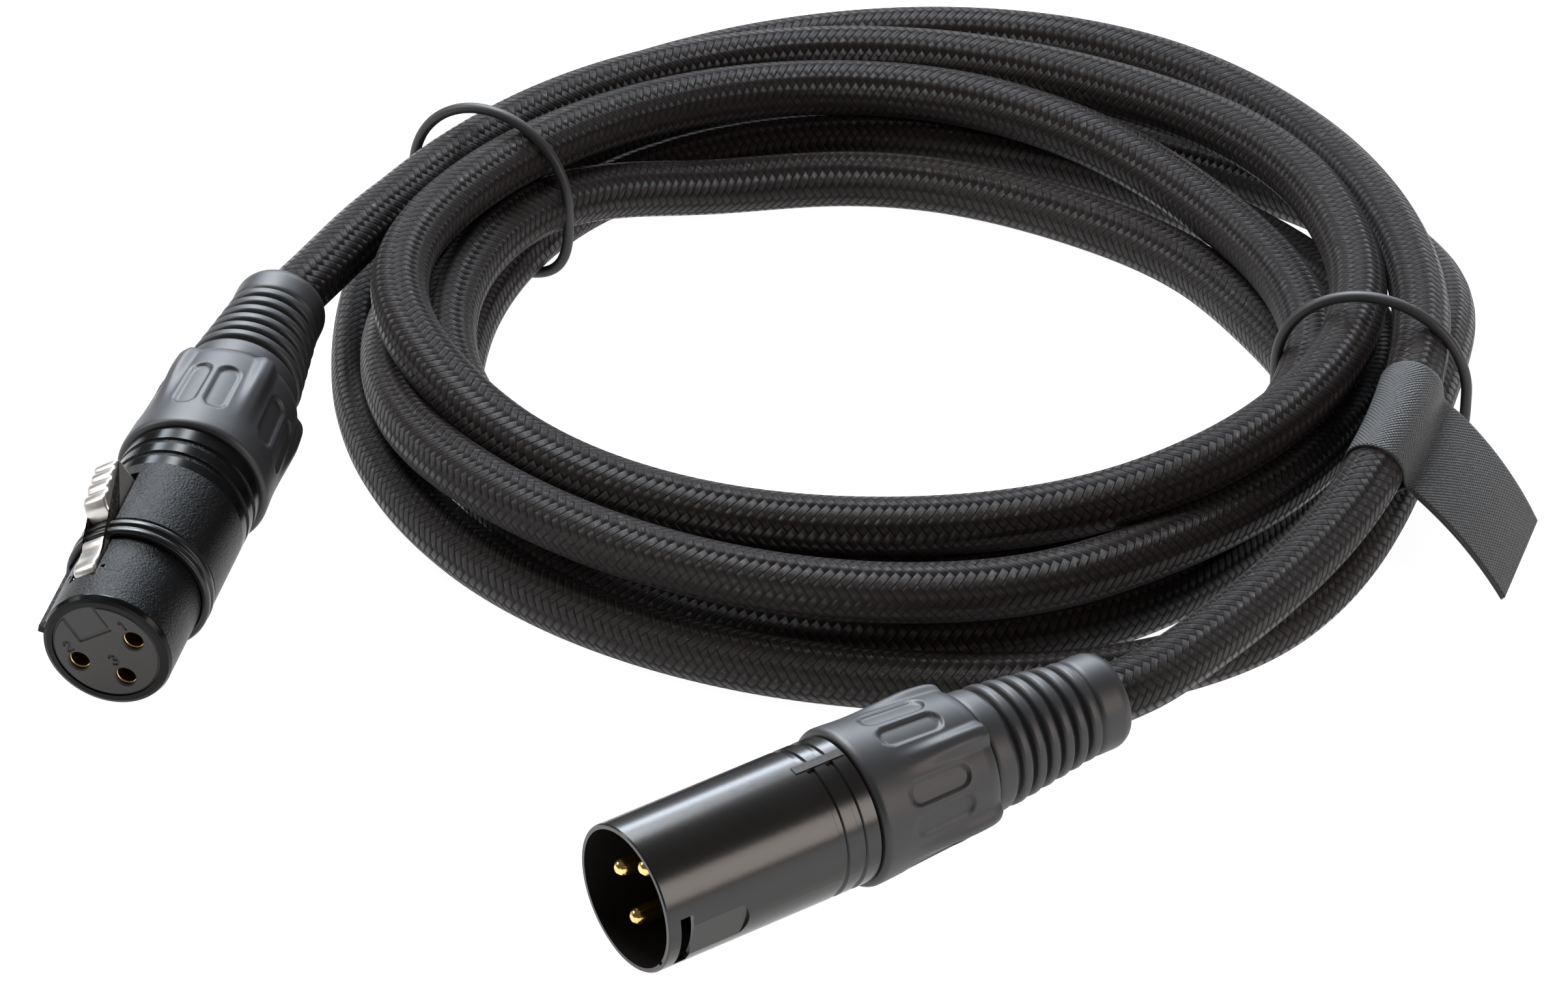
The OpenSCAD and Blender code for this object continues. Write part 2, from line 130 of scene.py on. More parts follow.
def moved(points, place):
    return np.asarray(points, float) @ place[:3, :3].T + place[:3, 3]


def finish_piece(o, material, body, replaced=()):
    o.data.materials.append(material)
    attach(o, body)
    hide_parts(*replaced)


def mesh_piece(name, points, faces, place=COIL_PLACE, uv=None):
    """A mesh object from points in mm in that place's frame, with a uv pair for each face's corner."""
    mesh = bpy.data.meshes.new(name)
    places = (moved(points, place) * MM).tolist()
    mesh.from_pydata(places, [], [[int(i) for i in f] for f in faces])
    if uv is not None:
        layer = mesh.uv_layers.new(name="UVMap")
        layer.data.foreach_set("uv", np.asarray(uv, np.float32).ravel())
    mesh.polygons.foreach_set("use_smooth", [True] * len(mesh.polygons))
    mesh.update()
    o = bpy.data.objects.new(name, mesh)
    bpy.context.scene.collection.objects.link(o)
    return o


def grid_faces(rows, columns, wrap_rows=False, wrap_columns=True):
    """Quads between neighbouring rows and columns of points that are numbered row by row."""
    i = np.arange(rows if wrap_rows else rows - 1)
    j = np.arange(columns if wrap_columns else columns - 1)
    i, j = [a.ravel() for a in np.meshgrid(i, j, indexing="ij")]
    i2, j2 = (i + 1) % rows, (j + 1) % columns
    return np.stack([i * columns + j, i * columns + j2, i2 * columns + j2, i2 * columns + j], axis=1)


NEARLY_HALF = 0.49      # the most of an edge that a rounded corner takes


def fillet(outline, radius, steps=4):
    """The closed outline with each corner rounded, where its edges leave room."""
    p = np.array(outline, float)
    n, out = len(p), []
    for k in range(n):
        a, b = p[k - 1] - p[k], p[(k + 1) % n] - p[k]
        la, lb = np.linalg.norm(a), np.linalg.norm(b)
        a = a / la * min(radius, la * NEARLY_HALF)
        b = b / lb * min(radius, lb * NEARLY_HALF)
        for t in np.linspace(0, 1, steps + 1):
            out.append(p[k] + (1 - t) ** 2 * a + t ** 2 * b)
    return np.array(out)


def divided(outline, step):
    """The closed outline with its long edges cut into pieces no longer than step."""
    out = []
    n = len(outline)
    for k in range(n):
        a, b = outline[k], outline[(k + 1) % n]
        cuts = max(1, math.ceil(np.linalg.norm(b - a) / step))
        out += [a + (b - a) * i / cuts for i in range(cuts)]
    return np.array(out)


def circle(count):
    """That many even angles round a circle."""
    return np.arange(count) * 2 * math.pi / count


def turned(name, outline, place, radius, step, segments, relief=None):
    """A closed outline of (radius, station) points turned about the axis, with its corners rounded to
    radius and its edges cut to step. relief(angle, r, z) adds to r."""
    section = divided(fillet(outline, radius), step)
    r, a = np.meshgrid(section[:, 0], circle(segments), indexing="ij")
    z = np.repeat(section[:, 1][:, None], segments, axis=1)
    if relief:
        r = r + relief(a, r, z)
    points = np.stack([r * np.cos(a), r * np.sin(a), z], axis=-1).reshape(-1, 3)
    return mesh_piece(name, points, grid_faces(len(section), segments, wrap_rows=True), place)


def frames_along(path, closed=False):
    """Unit tangents and two normals at each point of a path, turning as little as they can."""
    d = np.roll(path, -1, 0) - np.roll(path, 1, 0)
    if not closed:
        d[0], d[-1] = path[1] - path[0], path[-1] - path[-2]
    d /= np.linalg.norm(d, axis=1)[:, None]
    u = np.zeros_like(d)
    u[0] = np.cross([0, 0, 1], d[0])
    u[0] /= np.linalg.norm(u[0])
    for i in range(1, len(d)):
        u[i] = u[i - 1] - d[i] * (u[i - 1] @ d[i])
        u[i] /= np.linalg.norm(u[i])
    return d, u, np.cross(d, u)


def arc_length(path):
    return np.concatenate([[0], np.cumsum(np.linalg.norm(np.diff(path, axis=0), axis=1))])


def even(path, step):
    """The path again as a smooth curve with points about step apart."""
    s = arc_length(path)
    at = np.linspace(0, s[-1], math.ceil(s[-1] / step) + 1)
    return spline(s, path, at)


def spline(s, values, at):
    """A natural cubic through values at s, read at the places at."""
    s, y, n = np.asarray(s, float), np.asarray(values, float), len(s)
    h = np.diff(s)
    a = np.eye(n)
    rhs = np.zeros((n, y.shape[1]))
    for i in range(1, n - 1):
        a[i, i - 1:i + 2] = h[i - 1], 2 * (h[i - 1] + h[i]), h[i]
        rhs[i] = 6 * ((y[i + 1] - y[i]) / h[i] - (y[i] - y[i - 1]) / h[i - 1])
    m = np.linalg.solve(a, rhs)
    k = np.clip(np.searchsorted(s, at, side="right") - 1, 0, n - 2)
    after, before, width = (s[k + 1] - at)[:, None], (at - s[k])[:, None], h[k][:, None]
    return (
        (m[k] * after ** 3 + m[k + 1] * before ** 3) / (6 * width)
        + (y[k] / width - m[k] * width / 6) * after
        + (y[k + 1] / width - m[k + 1] * width / 6) * before
    )


def rings_along(path, radius, sides, closed=False):
    """A ring of points square to the path at each of its points."""
    _, u, v = frames_along(path, closed)
    a = circle(sides)[:, None]
    rings = path[:, None] + radius * (np.cos(a) * u[:, None] + np.sin(a) * v[:, None])
    return rings.reshape(-1, 3)


def tube(name, path, radius, sides, closed=False, place=COIL_PLACE):
    faces = grid_faces(len(path), sides, wrap_rows=closed)
    return mesh_piece(name, rings_along(path, radius, sides, closed), faces, place)


# ---------------------------------------------------------------- materials

class Graph:
    """A material's nodes, with a short call for each kind that the materials use."""

    def __init__(self, name):
        self.material = bpy.data.materials.new(name)
        self.material.use_nodes = True
        self.nodes = self.material.node_tree.nodes
        self.links = self.material.node_tree.links
        self.shader = self.nodes["Principled BSDF"]

    def put(self, socket, value):
        if isinstance(value, bpy.types.NodeSocket):
            self.links.new(value, socket)
        else:
            socket.default_value = value

    def node(self, kind, inputs=(), output=0, **settings):
        n = self.nodes.new("ShaderNode" + kind)
        for key, value in settings.items():
            setattr(n, key, value)
        for key, value in dict(inputs).items():
            self.put(n.inputs[key], value)
        return n.outputs[output]

    def math(self, operation, a, b=0.0):
        return self.node("Math", {0: a, 1: b}, operation=operation)

    def plus(self, a, b):
        return self.math("ADD", a, b)

    def minus(self, a, b):
        return self.math("SUBTRACT", a, b)

    def times(self, a, b):
        return self.math("MULTIPLY", a, b)

    def power(self, a, b):
        return self.math("POWER", a, b)

    def modulo(self, a, b):
        return self.math("FLOORED_MODULO", a, b)

    def noise(self, vector, scale, detail=2.0, roughness=0.5):
        settings = {"Vector": vector, "Scale": scale, "Detail": detail, "Roughness": roughness}
        return self.node("TexNoise", settings)

    def fine_noise(self, vector, size):
        """Detailed noise whose grains are about that size, in mm."""
        return self.noise(vector, 1 / (size * MM), 3.0, 0.6)

    def between(self, factor, low, high):
        return self.plus(self.times(factor, high - low), low)

    def ramp(self, factor, stops):
        out = self.node("ValToRGB", {"Fac": factor})
        for element, (at, colour) in zip(out.node.color_ramp.elements, stops):
            element.position = at
            element.color = (*colour, 1)
        return out

    def patchy(self, vector, low, high):
        """A colour that drifts slowly between the two."""
        return self.ramp(self.noise(vector, 60.0), [(0.3, low), (0.7, high)])

    def bump(self, height, distance):
        return self.node("Bump", {"Height": height, "Distance": distance, "Strength": 1.0})

    def set(self, **values):
        """The material, with these inputs of its shader set or linked."""
        for key, value in values.items():
            self.put(self.shader.inputs[key.replace("_", " ")], value)
        return self.material

    def here(self):
        return self.node("TexCoord", output="Object")


def grey(value, tint=(1, 1, 1)):
    return tuple(value * t for t in tint)


def moulded(name, tones, rough, grain, depth, tint=(1, 1, 1), metallic=0.0, specular=0.5):
    """A surface whose tone drifts between two greys, times the tint, with a fine grain.

    rough is the roughness in and on the grain, grain its size in mm, and depth its height in mm.
    """
    g = Graph(name)
    here = g.here()
    fine = g.fine_noise(here, grain)
    return g.set(
        Base_Color=g.patchy(here, grey(tones[0], tint), grey(tones[1], tint)),
        Metallic=metallic,
        Roughness=g.between(fine, *rough),
        Specular_IOR_Level=specular,
        Normal=g.bump(fine, depth * MM),
    )


FLOAT = 4.0         # a yarn passes over two and under two, so the weave repeats after four
YARN_EDGE = 0.98    # how far a yarn's edges fall, as a part of its height
YARN_DIP = 3.4      # how steeply a yarn dives at the ends of its float
FILAMENTS = 48.0    # the filaments' angle across one yarn, in radians
FILAMENT_LEAN = 0.12
FILAMENT_DEPTH = 0.11
BRAID_DEPTH = 0.6
# The gap colour is painted shade in the gaps between the yarns. The crown colour is the yarns' own.
PAINTED_GAP_SHADE = (0.001, 0.001, 0.001)
CROWN_TONE = (0.0165, 0.011, 0.0092)
BRAID_SHEEN = (0.72, 0.8, 1.0, 1)


def braid():
    """Two sets of yarns that cross, from the stitch and the column in the mesh's UV."""
    g = Graph("cable_braid")
    uv = g.node("UVMap", uv_map="UVMap")
    split = g.node("SeparateXYZ", {0: uv}).node
    along, round_it = split.outputs[0], split.outputs[1]
    p, q = g.plus(along, round_it), g.minus(along, round_it)
    i, j = g.math("FLOOR", p), g.math("FLOOR", q)
    over = g.math("LESS_THAN", g.modulo(g.minus(i, j), FLOAT), FLOAT / 2)

    def either(a, b):
        return g.node("Mix", {0: over, 2: b, 3: a})

    across = either(g.minus(p, i), g.minus(q, j))
    run_a = g.modulo(g.plus(g.minus(i, q), 1.0), FLOAT)
    run_b = g.minus(g.modulo(g.minus(p, j), FLOAT), FLOAT / 2)
    run = g.minus(g.times(either(run_a, run_b), 0.5), 0.5)
    side = g.times(g.minus(across, 0.5), 2.0)
    fall = g.times(g.power(g.math("ABSOLUTE", side), 3.0), YARN_EDGE)
    crown = g.math("SQRT", g.minus(1.0, fall))
    dive = g.times(g.power(g.times(run, run), 1.3), YARN_DIP)
    yarn = g.times(crown, g.minus(1.0, dive))
    filaments = g.math("SINE", g.times(g.plus(across, g.times(run, FILAMENT_LEAN)), FILAMENTS))
    broken = g.noise(g.here(), 900.0)
    height = g.plus(yarn, g.times(g.times(filaments, broken), FILAMENT_DEPTH))
    drift = g.between(g.noise(g.here(), 45.0), 0.75, 1.25)
    # The colour is painted shade: it darkens with the yarn's height, to near black in the gaps and
    # where a yarn dives, times a slow random drift.
    shade_and_drift = g.times(drift, g.power(g.math("MAXIMUM", yarn, 0.02), 1.3))
    dull = g.times(g.minus(1.0, yarn), 0.6)
    return g.set(
        Base_Color=g.ramp(shade_and_drift, [(0.0, PAINTED_GAP_SHADE), (1.0, CROWN_TONE)]),
        Roughness=g.plus(g.between(broken, 0.2, 0.36), dull),
        IOR=1.45,
        Specular_IOR_Level=0.29,
        Sheen_Weight=0.02,
        Sheen_Roughness=0.4,
        Sheen_Tint=BRAID_SHEEN,
        Normal=g.bump(height, BRAID_DEPTH * MM),
    )


CLOTH_TINT = (1.0, 0.94, 0.93)
CLOTH_DEPTH = 0.13


def cloth(name, low, high):
    """A fine plain weave from the UV, which is in mm, with uneven threads, over a slow drift."""
    g = Graph(name)
    uv = g.node("UVMap", uv_map="UVMap")
    split = g.node("SeparateXYZ", {0: uv}).node
    warp = g.math("SINE", g.times(split.outputs[0], math.pi / THREAD))
    weft = g.math("SINE", g.times(split.outputs[1], math.pi / THREAD))
    weave = g.between(g.times(warp, weft), 0.5, 1.0)
    uneven = g.noise(g.here(), 2600.0, 3.0, 0.7)
    # The colour is painted shade in the weave's hollows: it darkens where the weave is low, times a
    # slow random drift.
    shade_and_drift = g.times(weave, g.between(g.noise(g.here(), 150.0), 0.7, 1.3))
    height = g.plus(weave, g.times(uneven, 0.8))
    return g.set(
        Base_Color=g.ramp(shade_and_drift, [(0.1, grey(low)), (0.9, grey(high, CLOTH_TINT))]),
        Roughness=g.between(uneven, 0.25, 0.75),
        Specular_IOR_Level=0.5,
        Sheen_Weight=0.15,
        Sheen_Roughness=0.4,
        Normal=g.bump(height, CLOTH_DEPTH * MM),
    )


# Stretches of the female shell without grain, by their stations.
SMOOTH_BANDS = [(-1.0, 1.0), (26.9, 28.5), (29.65, 31.25), (32.2, 60.0)]


def shell(name, tones, rough, grain, depth, specular):
    """A moulded finish whose grain stops in smooth bands round the female connector."""
    g = Graph(name)
    here = g.here()
    fine = g.fine_noise(here, grain)
    mouth = tuple((FEMALE["at"] + COIL) * MM)
    from_mouth = g.node("VectorMath", {0: here, 1: mouth}, operation="SUBTRACT")
    back = {0: from_mouth, 1: tuple(FEMALE["back"])}
    station = g.node("VectorMath", back, output=1, operation="DOT_PRODUCT")
    smooth = 0.0
    for start, end in SMOOTH_BANDS:
        after = g.math("GREATER_THAN", station, start * MM)
        before = g.math("LESS_THAN", station, end * MM)
        smooth = g.plus(smooth, g.times(after, before))
    grained = g.minus(1.0, smooth)
    return g.set(
        Base_Color=g.patchy(here, grey(tones[0]), grey(tones[1])),
        Roughness=g.node("Mix", {0: grained, 2: 0.2, 3: g.between(fine, *rough)}),
        Specular_IOR_Level=specular,
        Normal=g.bump(g.times(fine, grained), depth * MM),
    )


SLATE = (0.97, 0.97, 1.06)
WARM = (1.0, 0.9, 0.84)
GOLD = (1.0, 0.7, 0.28)
NICKEL = (1.0, 0.955, 0.9)
COPPER = (1.0, 0.7, 0.5)
RED = (1.0, 0.08, 0.06)
# Tones, roughness, grain and depth of each moulded finish, and its other values.
MOULDED = {
    "black_shell": ((0.009, 0.012), (0.2, 0.27), 0.4, 0.004, {"tint": WARM}),
    "rubber_grip": ((0.016, 0.023), (0.42, 0.52), 0.25, 0.005, {"tint": SLATE}),
    "gasket": ((0.006, 0.009), (0.25, 0.33), 0.4, 0.004, {"tint": SLATE, "specular": 0.4}),
    "insert_plastic": ((0.026, 0.031), (0.42, 0.55), 0.3, 0.008, {"tint": WARM, "specular": 0.4}),
    "chuck_plastic": ((0.7, 0.75), (0.4, 0.5), 0.4, 0.01, {}),
    "gold_contact": ((0.8, 0.9), (0.14, 0.22), 0.6, 0.003, {"tint": GOLD, "metallic": 1.0}),
    "nickel": ((0.56, 0.62), (0.3, 0.4), 0.5, 0.004, {"tint": NICKEL, "metallic": 1.0}),
    "tie_rubber": ((0.02, 0.026), (0.42, 0.52), 0.4, 0.006, {"specular": 0.4}),
    "wire_bare": ((0.7, 0.8), (0.25, 0.4), 0.3, 0.02, {"tint": COPPER, "metallic": 1.0}),
    "wire_red": ((0.5, 0.55), (0.3, 0.4), 0.3, 0.01, {"tint": RED}),
    "wire_white": ((0.75, 0.8), (0.3, 0.4), 0.3, 0.01, {}),
}
FINISH = {
    "cable_braid": braid(),
    "label_cloth": cloth("label_cloth", 0.003, 0.016),
    "grained_shell": shell("grained_shell", (0.0025, 0.004), (0.26, 0.36), 0.33, 0.16, 0.15),
}
for finish_name, (*finish_values, others) in MOULDED.items():
    FINISH[finish_name] = moulded(finish_name, *finish_values, **others)
for part in frame["record"]["subparts"]:
    shown = NODES[part["node"]].data.materials
    shown.clear()
    shown.append(FINISH[part["material_slot"]])

# ---------------------------------------------------------------- the cable's route

# Routes of the leads between the connectors and the coil, from the coil's centre, as in part.scad.
MALE_LEAD = [
    [32, -87.6, 11.5], [36.6, -82.6, 11.8], [41.6, -76.5, 12], [46.6, -70, 12.4], [51.4, -63.2, 13],
    [56, -55.8, 14], [60, -48, 15.4], [63.4, -39.8, 16.8], [66, -31.2, 17.8], [67.7, -22.4, 18.2],
    [68.6, -13.4, 18.2],
]
FEMALE_LEAD = [
    [-79.9, -3.1, 17.5], [-76.1, 4.2, 17.9], [-71.9, 12.2, 18.1], [-67.6, 19.4, 18.1],
    [-63.8, 25.8, 18],
]
# Where each lap lies in the bundle, as (radius, height), at these angles, clockwise from the left tie.
STATIONS = [100, 10, -18.5, -90, -180, -208]
LAPS = [
    [(66.8, 14.6), (61.3, 18), (62.2, 18.6), (61.3, 15.2), (67.4, 18.4), (59.5, 18.8)],
    [(58.8, 13.2), (52.2, 10.8), (56.6, 12.4), (62.2, 7.4), (61.2, 11.6), (56.0, 12.4)],
    [(49.0, 4), (49.8, 4), (59.0, 4.2), (72.6, 4.6), (60.4, 4), (59.2, 5.4)],
    [(56.8, 6.2), (60.8, 7.2), (64.5, 10.6), (73.8, 13.4), (68.6, 11), (67.0, 5.4)],
    [(68.6, 4.2), (74.0, 8), (72.2, 10.6), (79.2, 3.9), (72.6, 3.9), (70.9, 12.2)],
    [(73.4, 13)],
]
# More points between those angles: [lap, angle, radius, height].
BETWEEN = [
    [0, 61, 61.6, 15.6], [0, 36, 60.8, 17], [0, -42, 63.2, 18.2], [0, -58, 64, 17.4],
    [1, 61, 54, 11.2], [1, 36, 51.4, 10.2],
    [2, 124, 50.4, 6.4], [2, 58, 44.8, 3.9], [2, 32, 46.6, 3.9], [2, -38, 63.6, 4.4], [2, -50, 66, 4.6],
    [2, -65, 70, 4.8],
    [3, 61, 57.2, 4.8], [3, 36, 57.2, 5], [3, -31, 64.2, 11.2], [3, -45, 65.8, 12.2],
    [3, -60, 67.9, 12.8], [3, -76, 72, 13],
    [4, 62, 66, 4.4], [4, 36, 69.5, 5.4], [4, -54, 81, 3.9], [4, -70, 82.6, 3.9], [4, -112, 77, 3.9],
    [5, 126, 70.9, 13.2], [5, 62, 74.3, 13.8], [5, 38, 70, 15], [5, 22, 67.6, 16.6],
]


LAP_STEP = 3.0      # degrees between the points of a lap
ROUTE_STEP = 5.0
CABLE_STEP = 0.5


def polar(point, lap):
    """The point as angle, radius and height, the angle being on that lap."""
    x, y, z = point
    return [math.degrees(math.atan2(y, x)) - 360 * lap, math.hypot(x, y), z]


def lap_route():
    """The laps as radius, angle and height, so that a curve through them stays round."""
    knots = [polar(point, 0) for point in FEMALE_LEAD[-2:]]
    knots += [polar(point, len(LAPS) - 1) for point in MALE_LEAD[-2:]]
    for n, lap in enumerate(LAPS):
        knots += [[a - 360 * n, r, z] for a, (r, z) in zip(STATIONS, lap)]
    knots += [[a - 360 * n, r, z] for n, a, r, z in BETWEEN]
    knots = np.array(sorted(knots, reverse=True))
    s = -knots[:, 0]
    at = np.arange(s[1], s[-2], LAP_STEP)
    r, z = spline(s, knots[:, 1:], at).T
    a = np.radians(-at)
    return np.stack([r * np.cos(a), r * np.sin(a), z], axis=1)


def behind(c, distances):
    """Points on a connector's axis, at those distances behind its boot."""
    return [c["at"] + c["back"] * (c["end"] + x) for x in distances]


def whole_route():
    out_of = behind(FEMALE, (-6, -3))
    into = behind(MALE, (CABLE_REACH, 0.5, -4))
    return np.concatenate([out_of, FEMALE_LEAD[:-1], lap_route(), MALE_LEAD[::-1][1:], into])


SETTLE_ROUNDS = 60
HELD = (8, 26)      # points at the female and the male end that don't move
NEAR = 8            # points along the cable that don't push each other
SQUEEZE = 0.1       # how far two turns press into each other
PUSH = 0.3          # the part of an overlap, and of a kink, that one round takes away
SMOOTHING = 0.6


def settled(path):
    """The path with its turns moved apart, smoothly, where they lie in each other or the ground."""
    n = len(path)
    drawn = path
    held = np.ones((n, 1))
    held[:HELD[0]] = held[-HELD[1]:] = 0
    index = np.arange(n)
    far = np.abs(index[:, None] - index[None]) > NEAR
    width = 2 * CABLE_R - SQUEEZE
    for _ in range(SETTLE_ROUNDS):
        gap = path[:, None] - path[None]
        distance = np.linalg.norm(gap, axis=2)
        close = far & (distance < width)
        push = np.where(close, (width - distance) / np.maximum(distance, 1e-6), 0)[:, :, None] * gap
        path = path + held * PUSH * push.sum(1)
        shift = path - drawn
        smooth = shift.copy()
        smooth[1:-1] = (shift[:-2] + 2 * shift[1:-1] + shift[2:]) / 4
        path = path + held * (smooth - shift) * SMOOTHING
        path[:, 2] = np.maximum(path[:, 2], CABLE_R)
    return path


ROUTE = even(settled(even(whole_route(), ROUTE_STEP)), ROUTE_STEP)


def cable():
    """The braided jacket as one tube, with the stitch and the column in its UV."""
    path = even(ROUTE, CABLE_STEP)
    sides = 2 * COLUMNS
    faces = grid_faces(len(path), sides)
    stitch = arc_length(path) / STITCH
    row = faces // sides
    column = faces % sides
    # The last face of a ring ends at a whole turn, not at the first point again.
    column[:, 1:3] = column[:, [0, 0]] + 1
    uv = np.stack([stitch[row], column * COLUMNS / sides], axis=-1)
    o = mesh_piece("cable", rings_along(path, CABLE_R, sides), faces, uv=uv)
    finish_piece(
        o, FINISH["cable_braid"], "cable",
        ["cable_coil", "cable_lead_male", "cable_lead_female", "cable_end_male", "cable_end_female"],
    )


cable()

# ---------------------------------------------------------------- ties

SQUARENESS = 0.57   # the power that makes a tie's lower half squarer than a circle


def tie(name, angle, middle, width):
    """A closed loop of round rubber cord: round above, squarer below, as in part.scad."""
    t = circle(120)
    power = np.where(np.sin(t) < 0, SQUARENESS, 1.0)
    across = np.sign(np.cos(t)) * np.abs(np.cos(t)) ** power
    up = np.sign(np.sin(t)) * np.abs(np.sin(t)) ** power
    x = middle + width / 2 * across
    z = TIE_R + TIE_LOOP_H / 2 * (1 + up)
    loop = np.stack([x, 0 * x, z], axis=1) @ np.array(turn("Z", angle))[:3, :3].T
    o = tube(name + "_loop", loop, TIE_R, 16, closed=True)
    finish_piece(o, FINISH["tie_rubber"], "cable", [name])


for tie_name, tie_sizes in TIES.items():
    tie(tie_name, *tie_sizes)

# ---------------------------------------------------------------- backshells and boots

def rise(x, low, high):
    """0 below low, 1 above high, and smooth between."""
    t = np.clip((x - low) / (high - low), 0, 1)
    return t * t * (3 - 2 * t)


GRIPS = 5           # ridges round a backshell, with two pill-shaped recesses after each
RIDGE_H = 0.95
RIDGE_START = 3.5   # where a ridge begins to rise, behind the rim
RIDGE_END = 2.5     # how far before the seam it stops rising
RIDGE_EDGE = (0.4, 1.9)     # its crest's half width, and its foot's
PILL_AT = 9.5       # a recess's middle, behind the rim
PILL_HALF = 3.0     # half the length of its straight sides
PILL_DEPTH = 0.42
PILL_EDGE = (1.3, 1.65)     # its floor's half width, and its mouth's
SKIN = (8.4, 8.55)  # the relief grows in from the inner radius to the outer


def backshell(which, c):
    """The grip of a connector: turned, with ridges and recesses in its outside."""
    rim, seam = c["rim"], c["seam"]
    outline = [
        [8.3, -rim - 0.3], [BACK_R - 0.35, -rim - 0.3], [BACK_R, -rim - 0.9],
        [BACK_R - 0.05, -rim - 2.2], [BACK_R - 0.3, -rim - 6], [BACK_R - 0.8, -rim - 14],
        [BACK_R - 1.1, -rim - 17],
        [BACK_R - 1.35, -seam + 0.6], [BACK_R - 1.7, -seam], [6.75, -seam],
    ]

    def relief(a, r, z):
        total = 0 * r
        depth = -z - rim
        for k in range(3 * GRIPS):
            centre = math.radians(c["grip"] + 120 / GRIPS * k)
            arc = ((a - centre + math.pi) % (2 * math.pi) - math.pi) * r
            if k % 3 == 0:
                swell = rise(depth, RIDGE_START, seam - rim - RIDGE_END) * RIDGE_H
                total += swell * (1 - rise(np.abs(arc), *RIDGE_EDGE))
            else:
                over = np.maximum(np.abs(depth - PILL_AT) - PILL_HALF, 0)
                total -= PILL_DEPTH * (1 - rise(np.hypot(arc, over), *PILL_EDGE))
        return total * rise(r, *SKIN)

    o = turned(which + "_backshell_grip", outline, c["place"], 0.35, 0.4, 224, relief)
    finish_piece(o, FINISH["rubber_grip"], which + "_backshell", [which + "_backshell"])


BAND = 3.0          # length of the boot's plain band
BAND_R = 8.0
RIBS = 6
COLLAR = 5.2        # length of the boot's collar
# A rib and the groove before it, as (inwards from the rib's radius, part of the pitch).
RIB = [(0.95, 0.1), (0.95, 0.3), (0.05, 0.42), (0, 0.7), (0.05, 0.98)]


def boot(which, c):
    """A plain band, ribs that taper to the collar, and a rounded collar round the cable."""
    front, end, bore = -c["seam"] - 0.3, -c["end"], CABLE_R + 0.1
    first = front - BAND
    pitch = (first - end - COLLAR) / RIBS
    outline = [[6.65, front], [BAND_R - 0.25, front], [BAND_R, front - 0.5], [BAND_R - 0.1, first]]
    for i in range(RIBS):
        rib_r = BAND_R - (BAND_R - COLLAR_R) * (i + 0.5) / RIBS
        outline += [[rib_r - inwards, first - (i + part) * pitch] for inwards, part in RIB]
    outline += [
        [COLLAR_R - 0.5, end + COLLAR - 0.1], [COLLAR_R, end + COLLAR - 0.6], [COLLAR_R, end + 1.4],
        [COLLAR_R - 0.5, end + 0.3], [COLLAR_R - 1.4, end], [bore, end], [bore, end + 6],
    ]
    o = turned(which + "_boot_ribs", outline, c["place"], 0.5, 1.0, 160)
    finish_piece(o, FINISH["rubber_grip"], which + "_boot", [which + "_boot"])


for which_one, connector in (("male", MALE), ("female", FEMALE)):
    backshell(which_one, connector)
    boot(which_one, connector)

# ---------------------------------------------------------------- the connectors' mouths

def gasket_ring():
    """The rubber ring in front of the barrel, with one groove round it."""
    front, back, rim = -RING_FRONT, -RING_BACK, BARREL_R + 0.1
    outline = [
        [NOSE_R + 0.05, front], [rim - 0.3, front], [rim, front - 0.3], [rim, front - 0.85],
        [rim - 0.35, front - 1.05], [rim - 0.35, front - 1.4], [rim + 0.05, front - 1.65],
        [rim + 0.05, back + 0.3], [rim - 0.2, back], [NOSE_R + 0.05, back],
    ]
    o = turned("female_ring", outline, FEMALE["place"], 0.18, 0.6, 160)
    finish_piece(o, FINISH["gasket"], "cable", ["female_gasket_ring"])


LEVER_W = 3.6
LEVER_EDGE = 0.35   # radius of the strip's rolled edges
SHARP = 40          # degrees between faces from which the lever shows an edge
# The lever's side view as (radius, station): hook, neck under the gasket ring, and thumb tab.
LEVER = [
    (7.1, 5.9), (7.9, 6.0), (8.35, 6.2), (8.8, 6.7), (9.0, 7.6), (8.9, 8.8),
    (9.05, 10.4), (9.45, 11.4), (9.4, 11.9), (8.1, 12.4), (8.1, 15.35), (9.9, 15.4),
    (11.2, 15.7), (12.15, 16.5), (12.4, 17.4), (12.15, 18.3), (12.6, 18.8), (12.75, 19.6),
    (12.5, 20.3), (12.9, 20.8), (13.0, 21.5), (12.8, 22.1), (13.15, 22.5), (13.1, 23.4),
    (12.7, 23.75), (8.4, 23.75), (7.6, 23.2), (7.6, 16.1), (7.1, 15.5), (7.1, 7.6),
]


def latch_lever():
    """The lever's side view, drawn to the strip's width, with its edges rolled over."""
    side = divided(fillet([(r, -s) for r, s in LEVER], 0.3, 3), 1.0)
    after = np.roll(side, -1, 0)
    d = after - np.roll(side, 1, 0)
    out = np.stack([d[:, 1], -d[:, 0]], axis=1) / np.linalg.norm(d, axis=1)[:, None]
    if np.sum(side[:, 0] * after[:, 1] - after[:, 0] * side[:, 1]) < 0:
        out = -out
    rows = []
    for a in np.linspace(0, math.pi / 2, 4):
        inset = LEVER_EDGE * (1 - math.sin(a))
        rows.append((inset, LEVER_W / 2 - LEVER_EDGE * (1 - math.cos(a))))
    rows = [(inset, -y) for inset, y in rows] + [(inset, y) for inset, y in rows[::-1]]
    points = [[p[0], y, p[1]] for inset, y in rows for p in side - out * inset]
    n = len(side)
    caps = [list(range(n)), list(range(len(points) - n, len(points)))]
    faces = grid_faces(len(rows), n).tolist() + caps
    o = mesh_piece("latch_lever", points, faces, FEMALE["place"])
    o.data.set_sharp_from_angle(angle=math.radians(SHARP))
    finish_piece(o, FINISH["nickel"], "latch", ["female_latch_lever"])


